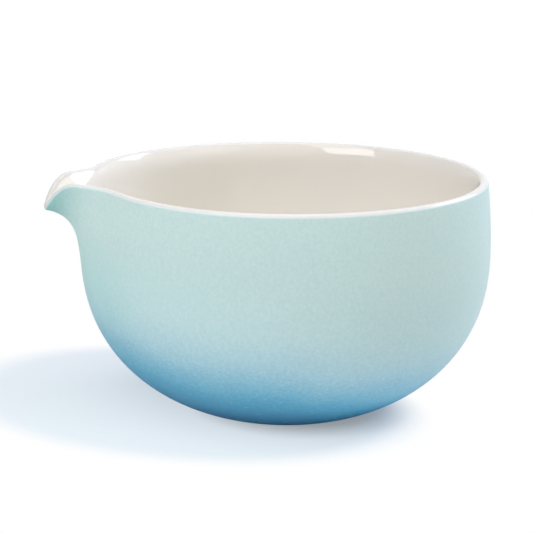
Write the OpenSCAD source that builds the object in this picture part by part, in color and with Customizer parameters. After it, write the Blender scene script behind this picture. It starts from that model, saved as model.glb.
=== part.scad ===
// Matcha bowl with a pulled pouring spout: a fired clay body, a glossy glaze inside and
// over the rim, and a matte glaze outside. Millimetres, +Z up, origin on the bowl's axis
// at table level, spout towards -X.

/* [Bowl] */
// Greatest outside diameter, at the belt
belt_d = 130; // [120:1:146]
// Height of the belt above the table
belt_z = 52.2; // [48:0.2:56]
// Height of the plain rim above the table
rim_z = 75.6; // [73:0.2:84]
// How far the rim's outer edge leans in from the belt
rim_lean = 1.4; // [0:0.1:3]
// Fullness of the base: 2 is an ellipse, more is flatter underneath
base_fullness = 2.26; // [2:0.02:2.8]
// Fullness of the side: 2 is an ellipse, more is more upright
side_fullness = 2.2; // [2:0.02:2.8]

/* [Wall] */
// Thickness of the plain rim
rim_wall = 2.9; // [2.6:0.1:4]
// Thickness of the edge at the spout's tip
lip_wall = 2.4; // [2:0.1:3]
// Thickness of the side below the belt
belt_wall = 4.8; // [3.6:0.1:5.6]
// How late the plain wall thins towards the rim: 2 is gradual, more is a short flare inside
rim_taper = 12; // [2:0.5:16]
// Height of the inside floor above the table
floor_z = 5.6; // [5:0.1:9]

/* [Foot] */
// Outside diameter of the bare foot ring
foot_d = 46; // [40:1:56]
// Width of the foot ring's bearing face
foot_w = 4; // [3:0.5:6]
// Height of bare foot below the outside glaze
foot_h = 0.25; // [0.2:0.05:1]
// Depth of the hollow inside the foot ring
foot_hollow = 1.6; // [1:0.1:2.4]
// Radius of the hollow's inner corner
hollow_round = 0.8; // [0.4:0.1:1]

/* [Spout] */
// How far the spout's tip stands out beyond the belt
spout_reach = 11.6; // [9:0.2:15]
// How far the middle of the tip's edge lies below the plain rim
spout_dip = 7.4; // [5:0.1:10]
// Width of the rim that is drawn out to the tip
spout_w = 52; // [46:1:60]
// Width of the rim that dips into the pouring channel
mouth_w = 25; // [20:1:32]
// Angle above level at which the tip points
spout_angle = 13; // [5:1:30]
// Distance below the belt at which the spout leaves the side
spout_root = 6.8; // [3:0.2:10]
// Pull of the tip's direction on the section, as a share of the spout's length
tip_pull = 2.5; // [2:0.1:2.8]
// Pull of the side's direction on the section, as a share of the plain wall's height
root_pull = 1.3; // [1:0.05:1.5]
// How far the rim is drawn in beside the spout
rim_pinch = 1; // [0:0.1:3]
// How far the rim rises towards the spout
rim_rise = 1; // [0:0.1:2]
// Angle either side of the spout at which the pinch and the rise fade out
draw_span = 85; // [60:1:86]

/* [Glaze] */
// Thickness of both glazes
glaze_t = 0.4; // [0.25:0.05:0.6]
// Angle up the rounded rim, from its outer side, at which the two glazes meet
glaze_line = 27; // [10:1:40]
// How much further up the edge the glazes meet at the spout's tip
line_rise = 38; // [0:1:50]

/* [Hidden] */
belt_r = belt_d / 2;
foot_r = foot_d / 2;
root_z = belt_z - spout_root;
// Slope of the leaning rim, and the height of its outer edge below the round
rim_tilt = atan(2 * rim_lean / (rim_z - rim_wall / 2 - belt_z));
edge_z = rim_z - rim_wall / 2 * (1 - sin(rim_tilt));
wall_rise = edge_z - root_z;
// Depth of the side's superellipse from the belt to its pole, which passes the foot at foot_h
side_depth = (belt_z - foot_h) / pow(1 - pow(foot_r / belt_r, base_fullness), 1 / side_fullness);
floor_wall = floor_z - belt_z + side_depth;
foot_turn = asin(pow(foot_r / belt_r, base_fullness / 2));
root_turn = acos(pow(spout_root / side_depth, side_fullness / 2));
nose_span = asin(spout_w / belt_d);
mouth_span = asin(mouth_w / belt_d);
tip_r = belt_r + spout_reach - lip_wall / 2 * (1 - sin(spout_angle));
tip_z = rim_z - spout_dip - lip_wall / 2 * cos(spout_angle);
side_steps = 30;
wall_steps = 10;
// Shares of the wall's height from the root to the rim's edge, closer together near the edge
wall_shares = [for (i = [0 : wall_steps]) 1 - pow(1 - i / wall_steps, 1.6)];
lip_steps = 7;
// Steps over the rim: up to the glaze line, over the top, and down the inner side
line_steps = [0.5, 1];
top_steps = [2, 3];
inner_steps = [6.5, 6, 5, 4];
coat_steps = concat(inner_steps, [3, 2, 1]);
// Share of a section over which its offsets turn from the surface normal to level at the root
level_share = 0.3;
fine_angles = [for (k = [0 : 16]) nose_span * k / 16];
coarse_step = (90 - nose_span) / 20;
coarse_angles = [for (k = [1 : 20]) nose_span + coarse_step * k];
half_angles = concat(fine_angles, coarse_angles);
spout_angles = concat([for (k = [len(half_angles) - 1 : -1 : 1]) -half_angles[k]], half_angles);
// Steps by which the spout half's chords nest inside the round wall at the root
outer_nest = 0.01;
inner_nest = outer_nest + belt_r * (1 - cos(coarse_step / 2));
$fn = 120;

function smooth(x) = let (t = min(max(x, 0), 1)) t * t * (3 - 2 * t);
function fade(x) = pow(1 - pow(min(abs(x), 1), 2), 4);
function unit(v) = v / norm(v);
function flip(list) = [for (i = [len(list) - 1 : -1 : 0]) list[i]];

// Outside radius of the plain bowl at a height
function side_r(z) = z < belt_z
    ? belt_r * pow(1 - pow((belt_z - z) / side_depth, side_fullness), 1 / base_fullness)
    : belt_r - rim_lean * pow((z - belt_z) / (edge_z - belt_z), 2);

// Point of the lower side's superellipse at a turn from its pole, as radius and height
function side_point(turn) = [
    belt_r * pow(sin(turn), 2 / base_fullness),
    belt_z - side_depth * pow(cos(turn), 2 / side_fullness)
];

// Outward direction there, brought level towards the root
function side_normal(turn) = let (
    p = side_point(turn),
    out = base_fullness / belt_r * pow(p[0] / belt_r, base_fullness - 1),
    down = side_fullness / side_depth * pow((belt_z - p[1]) / side_depth, side_fullness - 1),
    level = smooth((root_turn - turn) / (level_share * root_turn))
) unit([out, -down * level]);

// Wall thickness of the lower side, from the floor to the root
function side_wall(turn) = belt_wall + (floor_wall - belt_wall) * (1 - smooth(turn / root_turn));

function turns(from) = [for (i = [0 : side_steps]) from + (root_turn - from) * i / side_steps];

// The outside and the inside of the lower bowl, set back by a depth below the glaze
function outer_side(depth) = [for (t = turns(foot_turn)) side_point(t) - depth * side_normal(t)];
function inner_side(depth) = [
    for (t = turns(0)) side_point(t) - (side_wall(t) - depth) * side_normal(t)
];

// Section of the plain wall at an angle from the spout, from the root (0) to the rim's edge (1)
function plain_section(angle, s) = let (
    draw = fade(angle / draw_span) * s * s,
    z = root_z + s * wall_rise
) [side_r(z) - rim_pinch * draw, z + rim_rise * draw];

// Section along the spout's middle: a cubic from the root, along the side, to the tip
function spout_section(s) = let (
    start = [side_r(root_z), root_z],
    end = [tip_r, tip_z],
    lead = root_pull * (plain_section(90, 0.01) - start) / 0.01,
    run = tip_pull * (tip_r - start[0]) * [cos(spout_angle), sin(spout_angle)]
) start * (2 * pow(s, 3) - 3 * s * s + 1) + lead * (pow(s, 3) - 2 * s * s + s)
    + end * (3 * s * s - 2 * pow(s, 3)) + run * (pow(s, 3) - s * s);

// Outer surface above the root: the plain section drawn out to the spout's section
function wall_point(angle, s) = let (
    plain = plain_section(angle, s),
    pulled = spout_section(s),
    r = plain[0] + fade(angle / nose_span) * (pulled[0] - plain[0]),
    z = plain[1] + fade(angle / mouth_span) * (pulled[1] - plain[1])
) [-r * cos(angle), r * sin(angle), z];

function wall_up(angle, s) = unit(wall_point(angle, s + 0.005) - wall_point(angle, s - 0.005));

function wall_normal(angle, s) = let (
    across = wall_point(angle + 0.1, s) - wall_point(angle - 0.1, s),
    out = unit(cross(wall_up(angle, s), across))
) unit([out[0], out[1], out[2] * smooth(s / level_share)]);

function edge_wall(angle) = rim_wall - (rim_wall - lip_wall) * fade(angle / nose_span);
// Power with which the wall thins: gradually in the spout, late beside it
function taper(angle) = rim_taper + (2 - rim_taper) * fade(angle / nose_span);
// Angle at which the inside opens where it meets the rounded rim
function flare(angle) = atan(taper(angle) * (belt_wall - edge_wall(angle)) / wall_rise);

// Point of the inside, set back by a depth below the glaze square to the flare
function inner_point(angle, s, depth) = let (
    half = edge_wall(angle) / 2,
    open = flare(angle),
    share = pow(s, taper(angle)),
    tilt = open * pow(s, taper(angle) - 1),
    wall = belt_wall + (half * (1 + cos(open)) - belt_wall) * share
) wall_point(angle, s) - (wall - depth * cos(tilt)) * wall_normal(angle, s)
    + (half * sin(open) * share - depth * sin(tilt)) * wall_up(angle, s);

// One upright row of the outside or the inside, set back by a depth below the glaze
function outer_row(angle, depth) = [
    for (s = wall_shares) wall_point(angle, s) - depth * wall_normal(angle, s)
];
function inner_row(angle, depth) = [for (s = wall_shares) inner_point(angle, s, depth)];

// Points over the rounded rim, numbered from its outer side, set back by a depth
function lip_turn(angle, k) = let (
    line = glaze_line + line_rise * fade(angle / (nose_span + mouth_span))
) k < 1 ? k * line : line + (180 - flare(angle) - line) * (k - 1) / (lip_steps - 1);
function lip_row(angle, depth, steps) = let (
    out = wall_normal(angle, 1),
    up = wall_up(angle, 1),
    half = edge_wall(angle) / 2,
    middle = wall_point(angle, 1) - half * out
) [
    for (k = steps) let (t = lip_turn(angle, k))
        middle + (half - depth) * (cos(t) * out + sin(t) * up)
];

// Each section is a pair of rows of equal length, the outer one first
function clay_rows(angle) = [
    concat(outer_row(angle, glaze_t), lip_row(angle, glaze_t, concat(line_steps, top_steps))),
    concat(inner_row(angle, glaze_t), lip_row(angle, glaze_t, inner_steps))
];
function inner_glaze_rows(angle) = [
    concat(inner_row(angle, glaze_t), lip_row(angle, glaze_t, coat_steps)),
    concat(inner_row(angle, 0), lip_row(angle, 0, coat_steps))
];
function outer_glaze_rows(angle) = [
    concat(outer_row(angle, 0), lip_row(angle, 0, line_steps)),
    concat(outer_row(angle, glaze_t), lip_row(angle, glaze_t, line_steps))
];

// Moves the foot of both rows towards each other, so that their chords stay in the wall
function nested(rows) = let (
    a = rows[0],
    b = rows[1],
    inward = unit(b[0] - a[0])
) [
    concat([a[0] + outer_nest * inward], [for (i = [1 : len(a) - 1]) a[i]]),
    concat([b[0] - inner_nest * inward], [for (i = [1 : len(b) - 1]) b[i]])
];

// Half of the wall above the root, turned about the axis on the side away from the spout
module plain_half(rows) {
    rotate([0, 0, -90])
        rotate_extrude(angle = 180)
            polygon([for (p = concat(rows[0], flip(rows[1]))) [p[1], p[2]]]);
}

// The other half, lofted through the sections at each angle round the spout
module spout_half(sections) {
    rows = len(sections[0][0]);
    loop = 2 * rows;
    columns = len(sections);
    last = (columns - 1) * loop;
    polyhedron(
        points = [for (pair = sections) for (p = concat(pair[0], flip(pair[1]))) p],
        faces = concat(
            [
                for (c = [0 : columns - 2]) for (i = [0 : loop - 1])
                    let (a = c * loop + i, b = c * loop + (i + 1) % loop)
                        for (f = [[a, b + loop, b], [a, a + loop, b + loop]]) f
            ],
            [
                for (i = [0 : rows - 2])
                    let (a = i, b = i + 1, c = loop - 2 - i, d = loop - 1 - i)
                        for (f = [[a, b, c, d], [last + a, last + d, last + c, last + b]]) f
            ]
        ),
        convexity = 8
    );
}

// Fired clay: floor, foot ring and wall, drawn out into the spout
module clay_body() {
    inside = inner_side(glaze_t);
    outside = outer_side(glaze_t);
    hollow_r = foot_r - foot_w;
    corner = [
        for (t = [0 : 15 : 90])
            [hollow_r - hollow_round * (1 - cos(t)), foot_hollow - hollow_round * (1 - sin(t))]
    ];
    color([0.9, 0.86, 0.79])
    union() {
        rotate_extrude()
            polygon(concat(
                inside,
                flip(outside),
                [[foot_r, foot_h], [foot_r, 0], [hollow_r, 0]],
                corner,
                [[0, foot_hollow]]
            ));
        plain_half(clay_rows(90));
        spout_half([for (angle = spout_angles) nested(clay_rows(angle))]);
    }
}

// Glossy cream-white glaze: floor, inside, pouring channel and rounded rim
module inner_glaze() {
    color([0.95, 0.93, 0.89])
    union() {
        rotate_extrude()
            polygon(concat(inner_side(0), flip(inner_side(glaze_t))));
        plain_half(inner_glaze_rows(90));
        spout_half([for (angle = spout_angles) nested(inner_glaze_rows(angle))]);
    }
}

// Matte blue-green glaze: outside, from the foot ring up to the rim
module outer_glaze() {
    color([0.7, 0.84, 0.83])
    union() {
        rotate_extrude()
            polygon(concat(outer_side(0), flip(outer_side(glaze_t))));
        plain_half(outer_glaze_rows(90));
        spout_half([for (angle = spout_angles) nested(outer_glaze_rows(angle))]);
    }
}

clay_body();
inner_glaze();
outer_glaze();
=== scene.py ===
import math
from typing import NamedTuple

import bpy
import numpy as np
from bpy.props import FloatProperty, FloatVectorProperty, PointerProperty
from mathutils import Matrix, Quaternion, Vector


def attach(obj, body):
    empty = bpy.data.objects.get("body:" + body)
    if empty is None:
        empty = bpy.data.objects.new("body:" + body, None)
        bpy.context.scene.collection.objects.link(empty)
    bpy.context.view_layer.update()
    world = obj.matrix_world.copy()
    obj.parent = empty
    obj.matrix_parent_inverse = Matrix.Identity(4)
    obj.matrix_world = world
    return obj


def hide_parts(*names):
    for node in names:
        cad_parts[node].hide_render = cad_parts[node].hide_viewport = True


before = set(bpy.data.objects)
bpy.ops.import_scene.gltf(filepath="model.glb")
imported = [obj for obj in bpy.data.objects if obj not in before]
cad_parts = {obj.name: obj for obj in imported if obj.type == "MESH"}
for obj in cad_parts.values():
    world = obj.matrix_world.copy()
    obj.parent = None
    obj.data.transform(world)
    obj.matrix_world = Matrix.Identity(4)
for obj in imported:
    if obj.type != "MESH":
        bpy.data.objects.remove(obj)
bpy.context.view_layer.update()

bl_info = {
    "name": "Spouted matcha bowl",
    "version": (1, 0, 0),
    "blender": (4, 5, 0),
    "location": "View3D > Sidebar > Bowl",
    "description": "Builds a spouted matcha bowl from its sizes, with glazes and a studio stage",
    "category": "Object",
}

MM = 0.001


# Properties


def length(name, text, millimetres):
    """A length property whose default is given in millimetres."""
    size = millimetres * MM
    return FloatProperty(name=name, description=text, default=size, unit="LENGTH", precision=5)


def angle(name, text, degrees):
    """An angle property whose default is given in degrees."""
    turn = math.radians(degrees)
    return FloatProperty(name=name, description=text, default=turn, subtype="ANGLE")


def number(name, text, value):
    """A plain number property."""
    return FloatProperty(name=name, description=text, default=value, precision=4)


def linear(red, green, blue):
    """Scene-linear colour of a display colour given from 0 to 255, by the sRGB curve."""
    shares = np.array([red, green, blue]) / 255
    curved = ((shares + 0.055) / 1.055) ** 2.4
    return tuple(np.where(shares <= 0.04045, shares / 12.92, curved).tolist())


def colour(name, text, red, green, blue):
    """A colour property whose default is given as a display colour from 0 to 255."""
    return FloatVectorProperty(
        name=name, description=text, default=linear(red, green, blue), subtype="COLOR", min=0, max=1
    )


def power(name, watts):
    """Power of a softbox."""
    text = "Power of that softbox"
    return FloatProperty(name=name, description=text, default=watts, unit="POWER")


def spot(name, text, *metres):
    """A place in the bowl's frame, in metres."""
    return FloatVectorProperty(name=name, description=text, default=metres, subtype="TRANSLATION")


class BowlSizes(bpy.types.PropertyGroup):
    """Sizes of the bowl, its wall, foot, spout and glazes."""

    belt_diameter: length("Belt diameter", "Greatest outside diameter", 130)
    belt_height: length("Belt height", "Height of the belt", 52.2)
    rim_height: length("Rim height", "Height of the plain rim", 75.6)
    rim_lean: length("Rim lean", "How far the rim's outer edge leans in from the belt", 1.4)
    base_fullness: number("Base fullness", "2 is an ellipse, more is flatter underneath", 2.26)
    side_fullness: number("Side fullness", "2 is an ellipse, more is more upright", 2.2)
    rim_wall: length("Rim wall", "Thickness of the plain rim", 2.9)
    lip_wall: length("Lip wall", "Thickness of the edge at the spout's tip", 2.4)
    belt_wall: length("Belt wall", "Thickness of the side below the belt", 4.8)
    rim_taper: number("Rim taper", "How late the wall thins towards the rim: 2 is gradual", 12)
    floor_height: length("Floor height", "Height of the inside floor", 5.6)
    foot_diameter: length("Foot diameter", "Outside diameter of the bare foot ring", 46)
    foot_width: length("Foot width", "Width of the foot ring's bearing face", 4)
    foot_height: length("Foot height", "Height of bare foot below the outside glaze", 0.25)
    foot_hollow: length("Foot hollow", "Depth of the hollow inside the foot ring", 1.6)
    foot_edge: length("Foot edge", "Radius of the foot ring's worn edges", 0.2)
    hollow_round: length("Hollow round", "Radius of the hollow's inner corner", 0.8)
    turning_depth: length("Turning depth", "Depth of the turning rings in the hollow", 0.07)
    turning_pitch: length("Turning pitch", "Distance between the turning rings", 1.9)
    spout_reach: length("Spout reach", "Reach of the tip beyond the belt", 11.6)
    spout_dip: length("Spout dip", "How far the tip's edge lies below the plain rim", 7.4)
    spout_width: length("Spout width", "Width of the rim drawn out to the tip", 52)
    mouth_width: length("Mouth width", "Width of the rim that dips into the channel", 25)
    spout_angle: angle("Spout angle", "Angle above level at which the tip points", 13)
    spout_root: length("Spout root", "Depth below the belt at which the spout leaves the side", 6.8)
    tip_pull: number("Tip pull", "Pull of the tip's direction, over the spout's length", 2.5)
    root_pull: number("Root pull", "Pull of the side's direction, over the wall's height", 1.3)
    rim_pinch: length("Rim pinch", "How far the rim is drawn in beside the spout", 1)
    rim_rise: length("Rim rise", "How far the rim rises towards the spout", 1)
    draw_span: angle("Draw span", "Angle from the spout at which pinch and rise fade out", 85)
    glaze_thickness: length("Glaze thickness", "Thickness of both glazes", 0.4)
    glaze_line: angle("Glaze line", "Angle up the rounded rim at which the glazes meet", 27)
    line_rise: angle("Line rise", "How much further up the edge they meet at the tip", 38)


class BowlLooks(bpy.types.PropertyGroup):
    """Colours and finishes of the glazes and the clay."""

    rim_tint: colour("Rim tint", "Matte glaze just under the rim", 196, 221, 216)
    side_tint: colour("Side tint", "Matte glaze at the belt", 193, 219, 215)
    turn_tint: colour("Turn tint", "Matte glaze where the side turns in", 186, 216, 217)
    fade_tint: colour("Fade tint", "Matte glaze half way down the fade", 157, 200, 213)
    low_tint: colour("Low tint", "Matte glaze below the fade", 106, 177, 204)
    foot_tint: colour("Foot tint", "Matte glaze at the foot", 80, 152, 190)
    # painted shade: darkens the matte glaze near the foot, where the table shades it
    foot_shade_tint: colour("Roll tint", "Tint over the matte roll at the foot", 174, 219, 228)
    # painted shade: darkens the matte glaze under the spout's tip, which faces away from the lamps
    tip_shade_tint: colour("Tip tint", "Tint over the matte glaze under the tip", 188, 226, 224)
    # painted shade: darkens the spout's side low down, on the shaded left of the bowl
    flank_shade_tint: colour("Flank tint", "Tint over the spout's side, low down", 236, 250, 249)
    cool_tint: colour("Cool tint", "Cool specks in the matte glaze", 186, 214, 222)
    line_tint: colour("Line tint", "Thin matte glaze at the glaze line", 224, 236, 233)
    fade_lean: angle("Fade lean", "Lean of the fade, which stands higher at the spout", 7)
    matte_roughness: number("Matte roughness", "Roughness of the matte glaze", 0.56)
    cream_tint: colour("Cream tint", "Glossy glaze on the wall", 232, 228, 220)
    # painted light: lightens the glossy inside towards the spout, where the wall is lit from the
    # right
    spout_side_light_tint: colour("Thin tint", "Glossy glaze thinned towards the spout", 247, 246, 238)
    # painted shade: darkens the glossy glaze over the rounded rim, which faces up to the lamps
    rim_shade_tint: colour("Lip tint", "Glossy glaze over the rounded rim", 227, 226, 223)
    # painted shade: darkens the glossy glaze at the spout's tip, which faces up to the lamps
    tip_gloss_shade_tint: colour("Edge tint", "Tint over the glossy glaze at the tip", 235, 237, 233)
    pool_tint: colour("Pool tint", "Glossy glaze lying thick on the floor", 224, 217, 205)
    gloss_roughness: number("Gloss roughness", "Roughness of the glossy glaze", 0.02)
    clay_tint: colour("Clay tint", "Bare fired clay", 229, 219, 201)
    iron_tint: colour("Iron tint", "Iron specks in the bare clay", 158, 128, 98)
    clay_roughness: number("Clay roughness", "Roughness of the bare clay", 0.85)


class BowlStage(bpy.types.PropertyGroup):
    """Camera, floor and lamps."""

    aim: spot("Aim", "Point that the camera looks at", -0.00585, 0.00135, 0.04565)
    camera_turn: angle("Camera turn", "Angle from the front towards the spout", 12.8)
    camera_rise: angle("Camera rise", "Angle of the camera above level", 13.28)
    camera_roll: angle("Camera roll", "Turn of the camera about its own axis", 0.4)
    camera_distance: length("Camera distance", "Distance from the camera to its aim", 600)
    lens: number("Lens", "Focal length for a sensor 36 mm wide", 126.78)
    floor_tint: colour("Floor tint", "Pale floor", 249, 249, 249)
    shade_tint: colour("Shade tint", "Plain background in the shadow", 236, 246, 253)
    shadow_place: spot("Shadow place", "Middle of the shadow's oval", -0.0316, 0.0108, 0)
    shadow_turn: angle("Shadow turn", "Turn of that oval about the vertical", -40.8)
    shadow_length: length("Shadow length", "Length of that oval", 164)
    shadow_width: length("Shadow width", "Width of that oval", 119)
    contact_place: spot("Contact place", "Middle of the deepest shadow", 0.0082, 0.0004, 0)
    ambient_tint: colour("Ambient tint", "Light from all round", 196, 228, 255)
    ambient_level: number("Ambient level", "Strength of the light from all round", 0.08)
    key_place: spot("Key place", "Softbox on the right, for the shadow", 0.80, -0.35, 1.50)
    key_power: power("Key power", 12.6)
    key_tint: colour("Key tint", "Light of that softbox", 255, 246, 238)
    window_place: spot("Window place", "Softbox in front on the left", -1.26, -0.82, 0.84)
    window_power: power("Window power", 12)
    high_place: spot("High place", "Softbox high in front on the left", -0.78, -0.59, 1.44)
    high_power: power("High power", 6.7)
    fill_place: spot("Fill place", "Softbox in front on the right", 0.86, -1.22, 0.84)
    fill_power: power("Fill power", 1.5)
    rim_place: spot("Rim place", "Softbox behind on the right", 1.40, 0.50, 0.85)
    rim_power: power("Rim power", 13)
    rim_light: colour("Rim light", "Light of that softbox", 220, 227, 255)
    top_place: spot("Top place", "Softbox overhead", 0.1, 0.1, 1.95)
    top_power: power("Top power", 7.5)
    cool_light: colour("Cool light", "Light of the other softboxes", 252, 250, 252)


# The bowl's surfaces

RIM_CROWDING = 1.6


def smooth(x):
    """Rise from 0 to 1 with level ends: three squares less two cubes of x, held to 0 to 1."""
    x = np.clip(x, 0, 1)
    return x * x * (3 - 2 * x)


def fade(x):
    """Bell that is 1 at 0 and fades out at 1 on either side: (1 less x squared), to the fourth."""
    return (1 - np.minimum(np.abs(x), 1) ** 2) ** 4


def crowded(count):
    """Shares from 0 to 1 that lie closer towards 1: one less a power of the share that is left."""
    return 1 - np.linspace(1, 0, count) ** RIM_CROWDING


def unit(vectors):
    """Vectors divided by their lengths."""
    return vectors / np.linalg.norm(vectors, axis=-1, keepdims=True)


class BowlForm:
    """The bowl's surfaces as functions of two parameters, in metres and radians.

    Angles run round the axis from the middle of the spout, which points to -X. Below the
    root of the spout a turn runs from the pole to the root. Above it a share runs from the
    root (0) to the rim's edge (1). A depth is the distance below the finished surface.
    """

    # Share of the wall over which its normals come level at the root
    LEVEL_SHARE = 0.3
    # Steps of the differences that give directions
    SHARE_STEP = 0.005
    SECTION_STEP = 0.01
    ANGLE_STEP = math.radians(0.1)
    # Power with which the wall thins at the spout's tip
    TIP_TAPER = 2
    # Density of the columns: samples, extra share at the spout, and width against the spout's
    COLUMN_SAMPLES = 4001
    COLUMN_CROWD = 5
    COLUMN_SPREAD = 1.1
    # Points on each rounded corner of the foot and on the hollow's roof
    CORNER_POINTS = 7
    ROOF_POINTS = 90

    def __init__(self, sizes):
        self.sizes = sizes
        self.belt_r = sizes.belt_diameter / 2
        self.foot_r = sizes.foot_diameter / 2
        self.root_z = sizes.belt_height - sizes.spout_root
        half_rim = sizes.rim_wall / 2
        side_rise = sizes.rim_height - half_rim - sizes.belt_height
        rim_tilt = math.atan(2 * sizes.rim_lean / side_rise)
        self.edge_z = sizes.rim_height - half_rim * (1 - math.sin(rim_tilt))
        self.wall_rise = self.edge_z - self.root_z
        left = 1 - (self.foot_r / self.belt_r) ** sizes.base_fullness
        glazed_rise = sizes.belt_height - sizes.foot_height
        self.side_depth = glazed_rise / left ** (1 / sizes.side_fullness)
        self.floor_wall = sizes.floor_height - sizes.belt_height + self.side_depth
        self.foot_turn = math.asin((self.foot_r / self.belt_r) ** (sizes.base_fullness / 2))
        root_drop = sizes.spout_root / self.side_depth
        self.root_turn = math.acos(root_drop ** (sizes.side_fullness / 2))
        self.nose_span = math.asin(sizes.spout_width / sizes.belt_diameter)
        self.mouth_span = math.asin(sizes.mouth_width / sizes.belt_diameter)
        half_lip, tip_angle = sizes.lip_wall / 2, sizes.spout_angle
        self.tip_r = self.belt_r + sizes.spout_reach - half_lip * (1 - math.sin(tip_angle))
        self.tip_z = sizes.rim_height - sizes.spout_dip - half_lip * math.cos(tip_angle)

    def side_radius(self, z):
        """Radius of the plain outside: a superellipse below the belt, and above it a parabola
        that leans in."""
        size = self.sizes
        low = np.clip((size.belt_height - z) / self.side_depth, 0, 1)
        up = np.clip((z - size.belt_height) / (self.edge_z - size.belt_height), 0, None)
        below = self.belt_r * (1 - low**size.side_fullness) ** (1 / size.base_fullness)
        return np.where(z < size.belt_height, below, self.belt_r - size.rim_lean * up**2)

    def side_point(self, turn):
        """Radius and height on the superellipse: powers of the turn's sine and cosine."""
        size = self.sizes
        radius = self.belt_r * np.sin(turn) ** (2 / size.base_fullness)
        drop = self.side_depth * np.cos(turn) ** (2 / size.side_fullness)
        return np.stack([radius, size.belt_height - drop], -1)

    def side_normal(self, turn):
        """Gradient of the superellipse, its downward part taken out towards the root."""
        size = self.sizes
        point = self.side_point(turn)
        reach = point[..., 0] / self.belt_r
        drop = np.clip((size.belt_height - point[..., 1]) / self.side_depth, 0, None)
        out = size.base_fullness / self.belt_r * reach ** (size.base_fullness - 1)
        down = size.side_fullness / self.side_depth * drop ** (size.side_fullness - 1)
        level = smooth((self.root_turn - turn) / (self.LEVEL_SHARE * self.root_turn))
        return unit(np.stack([out, -down * level], -1))

    def side_wall(self, turn):
        """Wall thickness, from the floor's to the belt's by a smooth rise of the turn."""
        belt_wall = self.sizes.belt_wall
        return belt_wall + (self.floor_wall - belt_wall) * (1 - smooth(turn / self.root_turn))

    def turned(self, profile, angles):
        """Profile of radius and height turned about the axis."""
        radius, height = profile[:, None, 0], profile[:, None, 1]
        flat = np.stack([-radius * np.cos(angles), radius * np.sin(angles)], -1)
        return np.concatenate([flat, np.broadcast_to(height, flat.shape[:2])[..., None]], -1)

    def outer_side(self, turns, angles, depth):
        """Lower outside, set back along its normals by the depth, and turned."""
        return self.turned(self.side_point(turns) - depth * self.side_normal(turns), angles)

    def inner_side(self, turns, angles, depth):
        """Lower inside: the outside set back by the wall less the depth, and turned."""
        back = (self.side_wall(turns) - depth)[:, None]
        return self.turned(self.side_point(turns) - back * self.side_normal(turns), angles)

    def plain_section(self, angles, shares):
        """Radius and height of the wall beside the spout: the plain side, drawn in and raised
        by a wide bell."""
        size = self.sizes
        draw = fade(angles / size.draw_span) * shares**2
        height = self.root_z + shares * self.wall_rise
        return self.side_radius(height) - size.rim_pinch * draw, height + size.rim_rise * draw

    def spout_section(self, shares):
        """Radius and height along the spout's middle: a cubic from the root along the side to
        the tip."""
        size, step = self.sizes, self.SECTION_STEP
        start = self.side_radius(np.array(self.root_z))
        beside = np.array(math.pi / 2)
        radius, height = self.plain_section(beside, np.array(step))
        lead = size.root_pull * np.array([radius - start, height - self.root_z]) / step
        pull = size.tip_pull * (self.tip_r - start)
        run = pull * np.array([math.cos(size.spout_angle), math.sin(size.spout_angle)])
        cube, square = shares**3, shares**2
        begin, leave = 2 * cube - 3 * square + 1, cube - 2 * square + shares
        end, arrive = 3 * square - 2 * cube, cube - square
        return (
            start * begin + lead[0] * leave + self.tip_r * end + run[0] * arrive,
            self.root_z * begin + lead[1] * leave + self.tip_z * end + run[1] * arrive,
        )

    def wall_point(self, angles, shares):
        """Outside above the root: the plain section mixed with the spout's, its radius by one
        bell and its height by a narrower one."""
        plain_r, plain_z = self.plain_section(angles, shares)
        spout_r, spout_z = self.spout_section(shares)
        radius = plain_r + fade(angles / self.nose_span) * (spout_r - plain_r)
        height = plain_z + fade(angles / self.mouth_span) * (spout_z - plain_z)
        return np.stack([-radius * np.cos(angles), radius * np.sin(angles), height], -1)

    def wall_up(self, angles, shares):
        """Direction up the wall, by a central difference of the share."""
        step = self.SHARE_STEP
        return unit(self.wall_point(angles, shares + step) - self.wall_point(angles, shares - step))

    def wall_normal(self, angles, shares):
        """Outward normal: up crossed with the direction round the wall, level at the root."""
        step = self.ANGLE_STEP
        across = self.wall_point(angles + step, shares) - self.wall_point(angles - step, shares)
        out = unit(np.cross(self.wall_up(angles, shares), across))
        ones = np.ones_like(shares)
        return unit(out * np.stack([ones, ones, smooth(shares / self.LEVEL_SHARE)], -1))

    def edge_wall(self, angles):
        """Thickness of the edge, thinned towards the tip by the spout's bell."""
        thinning = self.sizes.rim_wall - self.sizes.lip_wall
        return self.sizes.rim_wall - thinning * fade(angles / self.nose_span)

    def taper(self, angles):
        """Power with which the wall thins: late at the plain rim, gradual at the tip."""
        plain = self.sizes.rim_taper
        return plain + (self.TIP_TAPER - plain) * fade(angles / self.nose_span)

    def flare(self, angles):
        """Angle between the wall's two faces at the rim, from how fast the wall thins there."""
        thinning = self.taper(angles) * (self.sizes.belt_wall - self.edge_wall(angles))
        return np.arctan(thinning / self.wall_rise)

    def outer_wall(self, angles, shares, depth):
        """Outside above the root, set back along its normals by the depth."""
        angles, shares = np.broadcast_arrays(angles, shares[:, None])
        return self.wall_point(angles, shares) - depth * self.wall_normal(angles, shares)

    def inner_wall(self, angles, shares, depth):
        """Inside above the root: the outside set back by the wall, which thins with a power of
        the share.

        Its slope against the outside grows to the flare at the rim, where it ends on the rounded
        edge, and the depth is measured square to that slope.
        """
        angles, shares = np.broadcast_arrays(angles, shares[:, None])
        half, belt_wall = self.edge_wall(angles) / 2, self.sizes.belt_wall
        taper, flare = self.taper(angles), self.flare(angles)
        share, tilt = shares**taper, flare * shares ** (taper - 1)
        back = belt_wall + (half * (1 + np.cos(flare)) - belt_wall) * share
        back = (back - depth * np.cos(tilt))[..., None]
        rise = (half * np.sin(flare) * share - depth * np.sin(tilt))[..., None]
        out, up = self.wall_normal(angles, shares), self.wall_up(angles, shares)
        return self.wall_point(angles, shares) - back * out + rise * up

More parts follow.
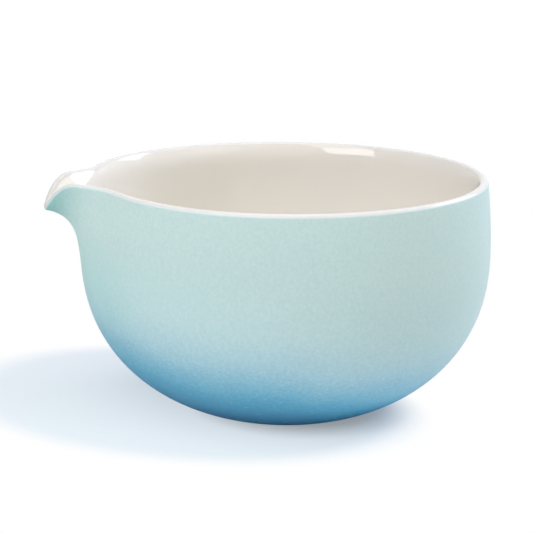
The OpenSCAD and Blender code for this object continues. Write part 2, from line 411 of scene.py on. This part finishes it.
    def inner_turn(self, angles):
        """Turn over the edge at which the flared inside meets it."""
        return math.pi - self.flare(angles)

    def line_turn(self, angles):
        """Turn over the edge at which the glazes meet, raised towards the tip by a bell."""
        rise = fade(angles / (self.nose_span + self.mouth_span))
        return self.sizes.glaze_line + self.sizes.line_rise * rise

    def lip(self, angles, start, end, shares, depth):
        """Rounded edge: a circle that turns from the outside (0) over to the inside, square to
        the edge, of which the part from the start to the end is drawn in shares."""
        turns = start + (end - start) * shares[:, None]
        angles, turns = np.broadcast_arrays(angles, turns)
        ends = np.ones_like(angles)
        out, up = self.wall_normal(angles, ends), self.wall_up(angles, ends)
        half = self.edge_wall(angles) / 2
        middle = self.wall_point(angles, ends) - half[..., None] * out
        arm = np.cos(turns)[..., None] * out + np.sin(turns)[..., None] * up
        return middle + (half - depth)[..., None] * arm

    def columns(self, count):
        """Angles once round: equal steps of the integral of a density that is greatest at the
        spout, one and a bell curve."""
        fine = np.linspace(-math.pi, math.pi, self.COLUMN_SAMPLES)
        near = np.exp(-((fine / (self.COLUMN_SPREAD * self.nose_span)) ** 2))
        density = 1 + self.COLUMN_CROWD * near
        total = np.concatenate([[0], np.cumsum((density[1:] + density[:-1]) / 2)])
        return np.interp(np.arange(count) / count * total[-1], total, fine)

    def foot_profile(self):
        """Foot ring and hollow, from the glaze's lower edge to the axis: quarter circles join
        the shoulder, the bearing face and the hollow, whose roof has shallow turning rings."""
        size, quarter = self.sizes, np.linspace(0, math.pi / 2, self.CORNER_POINTS)
        inner_r, edge, corner = self.foot_r - size.foot_width, size.foot_edge, size.hollow_round
        across, along = 1 - np.cos(quarter), 1 - np.sin(quarter)
        outer_edge = np.stack([self.foot_r - edge * across, edge * along], -1)
        inner_edge = np.stack([inner_r + edge * along, edge * across], -1)
        hollow_corner = np.stack([inner_r - corner * across, size.foot_hollow - corner * along], -1)
        radius = np.linspace(inner_r - corner, 0, self.ROOF_POINTS)[1:]
        rings = size.turning_depth * np.sin(math.pi * radius / size.turning_pitch) ** 2
        calm = smooth((inner_r - corner - radius) / corner)
        roof = np.stack([radius, size.foot_hollow - rings * calm], -1)
        shoulder = np.array([[self.foot_r, size.foot_height]])
        return np.concatenate([shoulder, outer_edge, inner_edge, hollow_corner, roof])


# Meshes

SHARP_ANGLE = math.radians(50)


def grid_mesh(name, rings, poles):
    """Mesh through a grid of points, ring after ring, each closed round the axis.

    With poles the first and the last ring are one point each. Without, the last ring
    joins the first.
    """
    rows, columns = rings.shape[:2]
    points = rings.reshape(-1, 3)
    if poles:
        rows -= 2
        points = np.concatenate([rings[1:-1].reshape(-1, 3), rings[0, :1], rings[-1, :1]])
    here = np.arange(columns)
    following = (here + 1) % columns
    upper = np.arange(rows - 1 if poles else rows)[:, None] * columns
    lower = (upper + columns) % (rows * columns)
    corners = [upper + here, upper + following, lower + following, lower + here]
    faces = np.stack(corners, -1).reshape(-1, 4).tolist()
    if poles:
        end = (rows - 1) * columns
        first, last = np.full(columns, rows * columns), np.full(columns, rows * columns + 1)
        faces += np.stack([first, following, here], -1).tolist()
        faces += np.stack([end + here, end + following, last], -1).tolist()
    mesh = bpy.data.meshes.new(name)
    mesh.from_pydata(points.tolist(), [], faces)
    mesh.shade_smooth()
    mesh.set_sharp_from_angle(angle=SHARP_ANGLE)
    check_closed(mesh)
    return mesh


def check_closed(mesh):
    """Stops with an error unless every edge has two faces and the faces point outwards."""
    mesh.calc_loop_triangles()
    points = np.empty(len(mesh.vertices) * 3)
    mesh.vertices.foreach_get("co", points)
    triangles = np.empty(len(mesh.loop_triangles) * 3, int)
    mesh.loop_triangles.foreach_get("vertices", triangles)
    a, b, c = np.moveaxis(points.reshape(-1, 3)[triangles.reshape(-1, 3)], 1, 0)
    volume = np.einsum("ij,ij->i", a, np.cross(b, c)).sum() / 6
    edges = np.empty(len(mesh.loops), int)
    mesh.loops.foreach_get("edge_index", edges)
    if not volume > 0 or np.any(np.bincount(edges) != 2):
        raise RuntimeError(f"{mesh.name} isn't a closed shell that faces outwards")


def distance_from(rings, row):
    """Distance of each point from one row, added up along its own column."""
    steps = np.linalg.norm(np.diff(rings, axis=0), axis=-1)
    along = np.concatenate([np.zeros((1, rings.shape[1])), np.cumsum(steps, axis=0)])
    return np.abs(along - along[row])


def put_attribute(mesh, name, values):
    """Writes one number for each vertex."""
    attribute = mesh.attributes.new(name, "FLOAT", "POINT")
    attribute.data.foreach_set("value", values.astype(np.float32).ravel())


def put_piece(mesh, material, node):
    """Links a piece that rides on the bowl's body and stands for a node of the frame."""
    piece = bpy.data.objects.new(mesh.name, mesh)
    mesh.materials.append(material)
    bpy.context.scene.collection.objects.link(piece)
    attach(piece, "root")
    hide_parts(node)


# Shader nodes

# Values between which a noise mostly stays
NOISE_SPAN = (0.3, 0.7)


def add(tree, kind, settings=None, **inputs):
    """Adds a shader node. Inputs are values or sockets by name, or by number as in_0."""
    node = tree.nodes.new("ShaderNode" + kind)
    for key, value in (settings or {}).items():
        setattr(node, key, value)
    for key, value in inputs.items():
        title = int(key[3:]) if key.startswith("in_") else key.replace("_", " ")
        fill(tree, node.inputs[title], value)
    return node


def fill(tree, socket, value):
    """Links a socket to an input, or sets the input to a value."""
    if isinstance(value, bpy.types.NodeSocket):
        tree.links.new(value, socket)
    else:
        socket.default_value = value


def math_node(tree, operation, a, b):
    """Result of a Math node."""
    return add(tree, "Math", {"operation": operation}, in_0=a, in_1=b).outputs[0]


def vector_value(tree, operation, **inputs):
    """Value of a Vector Math node."""
    return add(tree, "VectorMath", {"operation": operation}, **inputs).outputs["Value"]


def axes_of(tree, vector):
    """The X, Y and Z of a vector."""
    return add(tree, "SeparateXYZ", Vector=vector).outputs


def attribute_of(tree, name):
    """The number that a mesh holds for each vertex."""
    return add(tree, "Attribute", {"attribute_name": name}).outputs["Fac"]


def ranged(tree, value, low, high, to_low, to_high, kind="LINEAR"):
    """Result of a Map Range node, held to its range."""
    settings = {"interpolation_type": kind}
    ends = {"From_Min": low, "From_Max": high, "To_Min": to_low, "To_Max": to_high}
    return add(tree, "MapRange", settings, Value=value, **ends).outputs["Result"]


def faded(tree, value, span, top=1):
    """The top where the value lies below a span, nothing above it, smooth in between."""
    return ranged(tree, value, *span, top, 0, "SMOOTHSTEP")


def spread(tree, noise, low, high):
    """The span in which a noise mostly stays, taken to a range."""
    return ranged(tree, noise, *NOISE_SPAN, low, high)


def mixed(tree, blend, factor, a, b):
    """Result of a Mix node on two colours, given as sockets or as three numbers."""
    settings = {"data_type": "RGBA", "blend_type": blend}
    node = add(tree, "Mix", settings, Factor=factor)
    for socket, value in ((node.inputs[6], a), (node.inputs[7], b)):
        fill(tree, socket, value if isinstance(value, bpy.types.NodeSocket) else (*value, 1))
    return node.outputs[2]


def new_group(name, inputs, outputs):
    """Shader node group with float inputs and outputs besides its Place vector."""
    group = bpy.data.node_groups.new(name, "ShaderNodeTree")
    group.interface.new_socket("Place", in_out="INPUT", socket_type="NodeSocketVector")
    for title in inputs:
        group.interface.new_socket(title, in_out="INPUT", socket_type="NodeSocketFloat")
    for title in outputs:
        group.interface.new_socket(title, in_out="OUTPUT", socket_type="NodeSocketFloat")
    return group, group.nodes.new("NodeGroupInput"), group.nodes.new("NodeGroupOutput")


SPECKS_PER_GRAIN = 0.45
# Distances from a cell's middle, as shares of a cell, between which a speck fades out
SPECK_SPAN = (0.1, 0.34)


def grain_group():
    """Fired grain: fine noise for tone and height, and a mask of scattered round specks."""
    name = "Fired grain"
    if name in bpy.data.node_groups:
        return bpy.data.node_groups[name]
    group, start, end = new_group(name, ["Grains per metre", "Speck share"], ["Tone", "Specks"])
    place, rate, share = start.outputs[:3]
    fine = add(group, "TexNoise", Vector=place, Scale=rate, Detail=3, Roughness=0.6)
    speck_rate = math_node(group, "MULTIPLY", rate, SPECKS_PER_GRAIN)
    cells = add(group, "TexVoronoi", Vector=place, Scale=speck_rate)
    chosen = add(group, "SeparateColor", Color=cells.outputs["Color"]).outputs[0]
    picked = math_node(group, "LESS_THAN", chosen, share)
    dots = faded(group, cells.outputs["Distance"], SPECK_SPAN)
    group.links.new(fine.outputs["Fac"], end.inputs["Tone"])
    group.links.new(math_node(group, "MULTIPLY", picked, dots), end.inputs["Specks"])
    return group


# Clouds lie flatter than they are wide, and ripples are finer than clouds
CLOUD_SQUEEZE = (1, 1, 1.7)
RIPPLES_PER_CLOUD = 5


def drift_group():
    """Glaze drift: broad clouds in the thickness of a glaze, stretched along the turning."""
    name = "Glaze drift"
    if name in bpy.data.node_groups:
        return bpy.data.node_groups[name]
    group, start, end = new_group(name, ["Clouds per metre"], ["Clouds", "Ripples"])
    place, rate = start.outputs[:2]
    times = {"operation": "MULTIPLY"}
    flat = add(group, "VectorMath", times, in_0=place, in_1=CLOUD_SQUEEZE).outputs[0]
    clouds = add(group, "TexNoise", Vector=flat, Scale=rate, Detail=2, Roughness=0.5)
    fast = math_node(group, "MULTIPLY", rate, RIPPLES_PER_CLOUD)
    ripples = add(group, "TexNoise", Vector=place, Scale=fast, Detail=1, Roughness=0.4)
    group.links.new(clouds.outputs["Fac"], end.inputs["Clouds"])
    group.links.new(ripples.outputs["Fac"], end.inputs["Ripples"])
    return group


# Materials


class Finish(NamedTuple):
    """Texture of a material: rates per metre, shares of one, and a bump's depth in metres."""

    cloud_rate: float
    cloud_span: tuple
    cloud_share: float
    cloud_shade: tuple
    grain_rate: float
    grain_share: float
    speck_share: float
    speck_strength: float
    mirror: float
    roughness_swing: float
    bump_strength: float
    bump_depth: float


MATTE = Finish(
    cloud_rate=38, cloud_span=(0.42, 0.72), cloud_share=0.35, cloud_shade=(0.93, 0.985, 1.0),
    grain_rate=1000, grain_share=0.08, speck_share=0.16, speck_strength=0.22,
    mirror=0.3, roughness_swing=0.06, bump_strength=0.35, bump_depth=0.00006,
)
GLOSS = Finish(
    cloud_rate=30, cloud_span=(0.35, 0.7), cloud_share=0.3, cloud_shade=(0.985, 0.975, 0.955),
    grain_rate=900, grain_share=0, speck_share=0.05, speck_strength=0.1,
    mirror=0.42, roughness_swing=0.01, bump_strength=0.06, bump_depth=0.0001,
)
CLAY = Finish(
    cloud_rate=90, cloud_span=(0.35, 0.7), cloud_share=0.6, cloud_shade=(0.95, 0.93, 0.9),
    grain_rate=2400, grain_share=0.12, speck_share=0.05, speck_strength=0.55,
    mirror=0.5, roughness_swing=0.07, bump_strength=0.6, bump_depth=0.0001,
)

# Heights of the matte glaze's tints up the leaning fade, and how far drift and grain move it
FADE_STOPS = (
    (0.003, "foot_tint"),
    (0.0151, "low_tint"),
    (0.0241, "fade_tint"),
    (0.0346, "turn_tint"),
    (0.052, "side_tint"),
    (0.074, "rim_tint"),
)
FADE_TOP = 0.08
FADE_WANDER = 0.0016
FADE_MOTTLE = 0.001
# Heights between which the painted shade at the foot and the painted shade low on the flank fade
# out
FOOT_SHADE_SPAN = (0.004, 0.0135)
FLANK_SHADE_TOP = (0.042, 0.066)
# Places along X between which the painted shade on the flank and at the spout's tip, and the
# painted light on the gloss towards the spout, fade out
FLANK_SHADE_SPAN = (-0.065, -0.049)
TIP_SHADE_SPAN = (-0.078, -0.063)
SPOUT_SIDE_LIGHT_SPAN = (-0.055, 0.03)
# Distances from the glaze line over which the thin matte glaze and the painted shade over the rim
# end
LINE_SPAN = (0.0, 0.0009)
LINE_SHARE = 0.75
RIM_SHADE_SPAN = (0.0024, 0.0032)
# Heights between which the gloss on the floor fades out, and how far drift moves them
POOL_SPAN = (0.006, 0.03)
POOL_WANDER = 0.003


def new_material(name):
    """Material with a Principled shader on its output, and its object coordinates."""
    material = bpy.data.materials.new(name)
    material.use_nodes = True
    tree = material.node_tree
    tree.nodes.clear()
    shader = add(tree, "BsdfPrincipled")
    add(tree, "OutputMaterial", Surface=shader.outputs[0])
    return material, tree, shader, add(tree, "TexCoord").outputs["Object"]


def texture(tree, place, finish):
    """Outputs of the drift and of the grain at the rates of a finish."""
    drift, grain = {"node_tree": drift_group()}, {"node_tree": grain_group()}
    clouds = add(tree, "Group", drift, Place=place, Clouds_per_metre=finish.cloud_rate)
    rates = {"Grains_per_metre": finish.grain_rate, "Speck_share": finish.speck_share}
    return clouds.outputs, add(tree, "Group", grain, Place=place, **rates).outputs


def textured(tree, base, finish, drift, grain, speck_tint):
    """Base colour with the clouds, the grain and the specks of a finish laid over it."""
    cloud = ranged(tree, drift["Clouds"], *finish.cloud_span, 0, finish.cloud_share)
    base = mixed(tree, "MULTIPLY", cloud, base, finish.cloud_shade)
    base = mixed(tree, "OVERLAY", finish.grain_share, base, spread(tree, grain["Tone"], 0, 1))
    specks = math_node(tree, "MULTIPLY", grain["Specks"], finish.speck_strength)
    return mixed(tree, "MIX", specks, base, speck_tint)


def dress(tree, shader, base, finish, roughness, tone, relief):
    """Links the base colour, a roughness that swings with the tone, and the bump."""
    swing, strength, depth = finish.roughness_swing, finish.bump_strength, finish.bump_depth
    rough = spread(tree, tone, roughness - swing, roughness + swing)
    bump = add(tree, "Bump", Strength=strength, Distance=depth, Height=relief)
    shader.inputs["Specular IOR Level"].default_value = finish.mirror
    tree.links.new(base, shader.inputs["Base Color"])
    tree.links.new(rough, shader.inputs["Roughness"])
    tree.links.new(bump.outputs[0], shader.inputs["Normal"])


def fade_colour(tree, looks, place, clouds, tone):
    """Matte glaze's fade: a ramp up the leaning height, moved by the clouds and the tone."""
    leaning = (math.tan(looks.fade_lean), 0, 1)
    height = vector_value(tree, "DOT_PRODUCT", in_0=place, in_1=leaning)
    wander = spread(tree, clouds, -FADE_WANDER, FADE_WANDER)
    mottle = spread(tree, tone, -FADE_MOTTLE, FADE_MOTTLE)
    height = math_node(tree, "ADD", height, math_node(tree, "ADD", wander, mottle))
    ramp = add(tree, "ValToRGB", Fac=ranged(tree, height, 0, FADE_TOP, 0, 1))
    band = ramp.color_ramp
    band.interpolation = "CARDINAL"
    while len(band.elements) < len(FADE_STOPS):
        band.elements.new(0.5)
    for element, (level, tint) in zip(band.elements, FADE_STOPS):
        element.position = level / FADE_TOP
        element.color = (*getattr(looks, tint), 1)
    return ramp.outputs["Color"]


def matte_glaze(looks):
    """Matte glaze: a fade up the leaning height, soft drift and fine grain, with painted shade at
    the foot, on the spout's flank and under the spout's tip, and thinned out at the glaze line."""
    material, tree, shader, place = new_material("Matte blue-green glaze")
    drift, grain = texture(tree, place, MATTE)
    axes = axes_of(tree, place)
    # height mask of the painted shade low on the spout's flank
    low = faded(tree, axes["Z"], FLANK_SHADE_TOP)
    # painted shade: darker at the foot, under the spout's tip and low on the flank
    painted_shades = (
        (faded(tree, axes["Z"], FOOT_SHADE_SPAN), looks.foot_shade_tint),
        (faded(tree, axes["X"], TIP_SHADE_SPAN), looks.tip_shade_tint),
        (math_node(tree, "MULTIPLY", faded(tree, axes["X"], FLANK_SHADE_SPAN), low), looks.flank_shade_tint),
    )
    base = fade_colour(tree, looks, place, drift["Clouds"], grain["Tone"])
    for share, tint in painted_shades:
        base = mixed(tree, "MULTIPLY", share, base, tint)
    base = textured(tree, base, MATTE, drift, grain, looks.cool_tint)
    lighter_share = faded(tree, attribute_of(tree, "from_line"), LINE_SPAN, LINE_SHARE)
    base = mixed(tree, "MIX", lighter_share, base, looks.line_tint)
    dress(tree, shader, base, MATTE, looks.matte_roughness, grain["Tone"], grain["Tone"])
    return material


def glossy_glaze(looks):
    """Glossy glaze: cream with painted light towards the spout, painted shade over the rim and at
    the tip, darker where it pools on the floor, with soft ripples and a few specks."""
    material, tree, shader, place = new_material("Glossy cream glaze")
    drift, grain = texture(tree, place, GLOSS)
    axes = axes_of(tree, place)
    # painted light: lighter glaze towards the spout
    lighter_share = ranged(tree, axes["X"], *SPOUT_SIDE_LIGHT_SPAN, 1, 0)
    # painted shade over the rounded rim
    lip = faded(tree, attribute_of(tree, "from_line"), RIM_SHADE_SPAN)
    wander = spread(tree, drift["Clouds"], -POOL_WANDER, POOL_WANDER)
    pool = faded(tree, math_node(tree, "ADD", axes["Z"], wander), POOL_SPAN)
    base = mixed(tree, "MIX", lighter_share, looks.cream_tint, looks.spout_side_light_tint)
    base = mixed(tree, "MIX", lip, base, looks.rim_shade_tint)
    base = mixed(tree, "MIX", pool, base, looks.pool_tint)
    # painted shade at the spout's tip
    base = mixed(tree, "MULTIPLY", faded(tree, axes["X"], TIP_SHADE_SPAN), base, looks.tip_gloss_shade_tint)
    base = textured(tree, base, GLOSS, drift, grain, looks.pool_tint)
    dress(tree, shader, base, GLOSS, looks.gloss_roughness, grain["Tone"], drift["Ripples"])
    return material


def bare_clay(looks):
    """Bare clay: pale and dull, clouded, with fine grain and iron specks."""
    material, tree, shader, place = new_material("Bare stoneware")
    drift, grain = texture(tree, place, CLAY)
    base = textured(tree, looks.clay_tint, CLAY, drift, grain, looks.iron_tint)
    dress(tree, shader, base, CLAY, looks.clay_roughness, grain["Tone"], grain["Tone"])
    return material


def background_rays(tree):
    """Masks of the camera rays, and of the camera, glossy and transmission rays, which see the
    plain white background."""
    ray = add(tree, "LightPath").outputs
    seen = math_node(tree, "MAXIMUM", ray["Is Camera Ray"], ray["Is Glossy Ray"])
    return ray["Is Camera Ray"], math_node(tree, "MAXIMUM", seen, ray["Is Transmission Ray"])


FLOOR_ROUGHNESS = 0.9
# Distances from the oval's middle, as shares of its half sizes, over which the shadow ends
SHADOW_SPAN = (0.81, 1.06)
# Share of plain background in the shadow, from the near side to the far side of the oval
SHADOW_SHARES = (0.95, 0.28)
# Distances from the deepest shadow over which that share rises from its least part to all
CONTACT_SPAN = (0.0252, 0.0393)
CONTACT_SHARE = 0.56


def floor_paint(stage):
    """Pale floor, plain white outside an oval in which it keeps the shadow, which is lightened
    there for the camera alone."""
    material, tree, shader, place = new_material("Pale floor")
    shader.inputs["Base Color"].default_value = (*stage.floor_tint, 1)
    shader.inputs["Roughness"].default_value = FLOOR_ROUGHNESS
    shader.inputs["Specular IOR Level"].default_value = 0.0
    oval = add(
        tree,
        "Mapping",
        {"vector_type": "TEXTURE"},
        Vector=place,
        Location=stage.shadow_place,
        Rotation=(0, 0, stage.shadow_turn),
        Scale=(stage.shadow_length / 2, stage.shadow_width / 2, 1),
    ).outputs["Vector"]
    from_shadow = vector_value(tree, "LENGTH", in_0=oval)
    from_contact = vector_value(tree, "DISTANCE", in_0=place, in_1=stage.contact_place)
    direct, seen = background_rays(tree)
    across = ranged(tree, axes_of(tree, oval)["Y"], -1, 1, *SHADOW_SHARES)
    contact = ranged(tree, from_contact, *CONTACT_SPAN, CONTACT_SHARE, 1)
    near = math_node(tree, "MULTIPLY", math_node(tree, "MULTIPLY", across, contact), direct)
    far = ranged(tree, from_shadow, *SHADOW_SPAN, 0, 1, "SMOOTHSTEP")
    plain_mix = add(tree, "Mix", {"data_type": "FLOAT"}, in_0=far, in_2=near, in_3=1)
    share = math_node(tree, "MULTIPLY", plain_mix.outputs[0], seen)
    pale = mixed(tree, "MIX", far, stage.shade_tint, (1, 1, 1))
    plain = add(tree, "Emission", Color=pale).outputs[0]
    blend = add(tree, "MixShader", in_0=share, in_1=shader.outputs[0], in_2=plain)
    tree.links.new(blend.outputs[0], tree.get_output_node("ALL").inputs["Surface"])
    return material


# Operators


class BOWL_OT_fired_clay(bpy.types.Operator):
    """Build the fired clay body with its bare foot ring"""

    bl_idname = "spouted_bowl.fired_clay"
    bl_label = "Fired clay"

    COLUMNS, ROWS, LIP_ROWS = 240, 41, 17

    def execute(self, context):
        form = BowlForm(context.scene.bowl_sizes)
        around, depth = form.columns(self.COLUMNS), form.sizes.glaze_thickness
        rising = np.linspace(0, form.root_turn, self.ROWS)
        falling = np.linspace(form.root_turn, form.foot_turn, self.ROWS)
        shares, over = crowded(self.ROWS), np.linspace(0, 1, self.LIP_ROWS)
        rings = np.concatenate([
            form.inner_side(rising, around, depth),
            form.inner_wall(around, shares[1:], depth),
            form.lip(around, form.inner_turn(around), 0, over[1:], depth),
            form.outer_wall(around, shares[-2::-1], depth),
            form.outer_side(falling[1:], around, depth),
            form.turned(form.foot_profile(), around),
        ])
        mesh = grid_mesh("fired_clay", rings, poles=True)
        put_piece(mesh, bare_clay(context.scene.bowl_looks), "clay_body")
        return {"FINISHED"}


class BOWL_OT_glossy_coat(bpy.types.Operator):
    """Build the glossy glaze on the inside, the channel and the rounded rim"""

    bl_idname = "spouted_bowl.glossy_coat"
    bl_label = "Glossy coat"

    COLUMNS, ROWS, LIP_ROWS = 300, 61, 25

    def execute(self, context):
        form = BowlForm(context.scene.bowl_sizes)
        around, depth = form.columns(self.COLUMNS), form.sizes.glaze_thickness
        rising, shares = np.linspace(0, form.root_turn, self.ROWS), crowded(self.ROWS)
        line, inner = form.line_turn(around), form.inner_turn(around)
        over = np.linspace(0, 1, self.LIP_ROWS)
        finished = np.concatenate([
            form.inner_side(rising, around, 0),
            form.inner_wall(around, shares[1:], 0),
            form.lip(around, inner, line, over[1:], 0),
        ])
        back = np.concatenate([
            form.lip(around, line, inner, over[::2], depth),
            form.inner_wall(around, shares[-2::-2], depth)[:-1],
            form.inner_side(rising[::-2], around, depth),
        ])
        rings = np.concatenate([finished, back])
        mesh = grid_mesh("glossy_coat", rings, poles=True)
        away = distance_from(rings, len(finished) - 1)
        away = np.concatenate([away[1:-1].ravel(), away[0, :1], away[-1, :1]])
        put_attribute(mesh, "from_line", away)
        put_piece(mesh, glossy_glaze(context.scene.bowl_looks), "inner_glaze")
        return {"FINISHED"}


class BOWL_OT_matte_coat(bpy.types.Operator):
    """Build the matte glaze on the outside, from the glaze line to the foot ring"""

    bl_idname = "spouted_bowl.matte_coat"
    bl_label = "Matte coat"

    COLUMNS, ROWS, LIP_ROWS = 300, 61, 9

    def execute(self, context):
        form = BowlForm(context.scene.bowl_sizes)
        around, depth = form.columns(self.COLUMNS), form.sizes.glaze_thickness
        falling = np.linspace(form.root_turn, form.foot_turn, self.ROWS)
        shares, over = np.linspace(1, 0, self.ROWS), np.linspace(0, 1, self.LIP_ROWS)
        line = form.line_turn(around)
        finished = np.concatenate([
            form.lip(around, line, 0, over, 0),
            form.outer_wall(around, shares[1:], 0),
            form.outer_side(falling[1:], around, 0),
        ])
        back = np.concatenate([
            form.outer_side(falling[::-2], around, depth),
            form.outer_wall(around, shares[-3::-2], depth),
            form.lip(around, 0, line, over[1:], depth),
        ])
        rings = np.concatenate([finished, back])
        mesh = grid_mesh("matte_coat", rings, poles=False)
        put_attribute(mesh, "from_line", distance_from(rings, 0))
        put_piece(mesh, matte_glaze(context.scene.bowl_looks), "outer_glaze")
        return {"FINISHED"}


# Softboxes: name in the stage, sides in metres, light, and whether the glazes mirror it
SOFTBOXES = (
    ("key", (0.5, 0.5), "key_tint", False),
    ("window", (0.95, 0.6), "cool_light", True),
    ("high", (1.0, 1.0), "cool_light", True),
    ("fill", (0.9, 0.6), "cool_light", True),
    ("rim", (0.84, 0.8), "rim_light", True),
    ("top", (1.2, 1.2), "cool_light", True),
)


class BOWL_OT_studio_stage(bpy.types.Operator):
    """Set up the floor, the background, the softboxes and the camera"""

    bl_idname = "spouted_bowl.studio_stage"
    bl_label = "Studio stage"

    FLOOR_HALF = 6.0

    def execute(self, context):
        stage = context.scene.bowl_stage
        self.lay_floor(context, stage)
        self.light_world(context, stage)
        for box in SOFTBOXES:
            self.hang_lamp(context, stage, *box)
        self.set_camera(context, stage)
        context.scene.view_settings.view_transform = "Standard"
        return {"FINISHED"}

    def lay_floor(self, context, stage):
        """A square of floor at table level."""
        half = self.FLOOR_HALF
        mesh = bpy.data.meshes.new("floor")
        corners = [(-half, -half, 0), (half, -half, 0), (half, half, 0), (-half, half, 0)]
        mesh.from_pydata(corners, [], [(0, 1, 2, 3)])
        mesh.materials.append(floor_paint(stage))
        floor = bpy.data.objects.new("floor", mesh)
        context.scene.collection.objects.link(floor)

    def light_world(self, context, stage):
        """Soft light from all round, plain white where it is seen."""
        world = bpy.data.worlds.new("Studio")
        context.scene.world = world
        world.use_nodes = True
        tree = world.node_tree
        tree.nodes.clear()
        tint, level = (*stage.ambient_tint, 1), stage.ambient_level
        ambient = add(tree, "Background", Color=tint, Strength=level).outputs[0]
        white = add(tree, "Background", Color=(1, 1, 1, 1)).outputs[0]
        seen = background_rays(tree)[1]
        blend = add(tree, "MixShader", in_0=seen, in_1=ambient, in_2=white)
        add(tree, "OutputWorld", Surface=blend.outputs[0])

    def hang_lamp(self, context, stage, name, sides, light, mirrored):
        """An area lamp turned towards the camera's aim."""
        where = Vector(getattr(stage, f"{name}_place"))
        lamp = bpy.data.lights.new(f"{name}_softbox", "AREA")
        lamp.shape = "RECTANGLE"
        lamp.size, lamp.size_y = sides
        lamp.energy = getattr(stage, f"{name}_power")
        lamp.color = getattr(stage, light)
        hung = bpy.data.objects.new(lamp.name, lamp)
        hung.location = where
        hung.rotation_euler = (Vector(stage.aim) - where).to_track_quat("-Z", "Y").to_euler()
        hung.visible_camera = False
        hung.visible_glossy = mirrored
        context.scene.collection.objects.link(hung)

    def set_camera(self, context, stage):
        """The camera at its turn and rise round its aim, rolled about its own axis."""
        turn, rise = stage.camera_turn, stage.camera_rise
        level = math.cos(rise)
        back = Vector((-math.sin(turn) * level, -math.cos(turn) * level, math.sin(rise)))
        data = bpy.data.cameras.new("camera")
        data.lens = stage.lens
        camera = bpy.data.objects.new("camera", data)
        camera.location = Vector(stage.aim) + stage.camera_distance * back
        level_view = (-back).to_track_quat("-Z", "Y")
        roll = Quaternion((0, 0, 1), stage.camera_roll)
        camera.rotation_euler = (level_view @ roll).to_euler()
        context.scene.collection.objects.link(camera)
        context.scene.camera = camera


GROUPS = {"bowl_sizes": BowlSizes, "bowl_looks": BowlLooks, "bowl_stage": BowlStage}
OPERATORS = (BOWL_OT_fired_clay, BOWL_OT_glossy_coat, BOWL_OT_matte_coat, BOWL_OT_studio_stage)


class BOWL_PT_sidebar(bpy.types.Panel):
    """Sidebar panel that lists the bowl's pieces and sizes"""

    bl_idname = "BOWL_PT_sidebar"
    bl_label = "Spouted matcha bowl"
    bl_space_type = "VIEW_3D"
    bl_region_type = "UI"
    bl_category = "Bowl"

    def draw(self, context):
        for operator in OPERATORS:
            self.layout.operator(operator.bl_idname, text=operator.bl_label)
        for title, group in GROUPS.items():
            column = self.layout.column(align=True)
            for name in group.__annotations__:
                column.prop(getattr(context.scene, title), name)


CLASSES = (*GROUPS.values(), *OPERATORS, BOWL_PT_sidebar)


def register():
    for cls in CLASSES:
        bpy.utils.register_class(cls)
    for title, group in GROUPS.items():
        setattr(bpy.types.Scene, title, PointerProperty(type=group))


def unregister():
    for title in GROUPS:
        delattr(bpy.types.Scene, title)
    for cls in reversed(CLASSES):
        bpy.utils.unregister_class(cls)


def main():
    """Registers the classes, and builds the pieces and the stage."""
    register()
    bpy.ops.spouted_bowl.fired_clay()
    bpy.ops.spouted_bowl.glossy_coat()
    bpy.ops.spouted_bowl.matte_coat()
    bpy.ops.spouted_bowl.studio_stage()


if __name__ == "__main__":
    main()
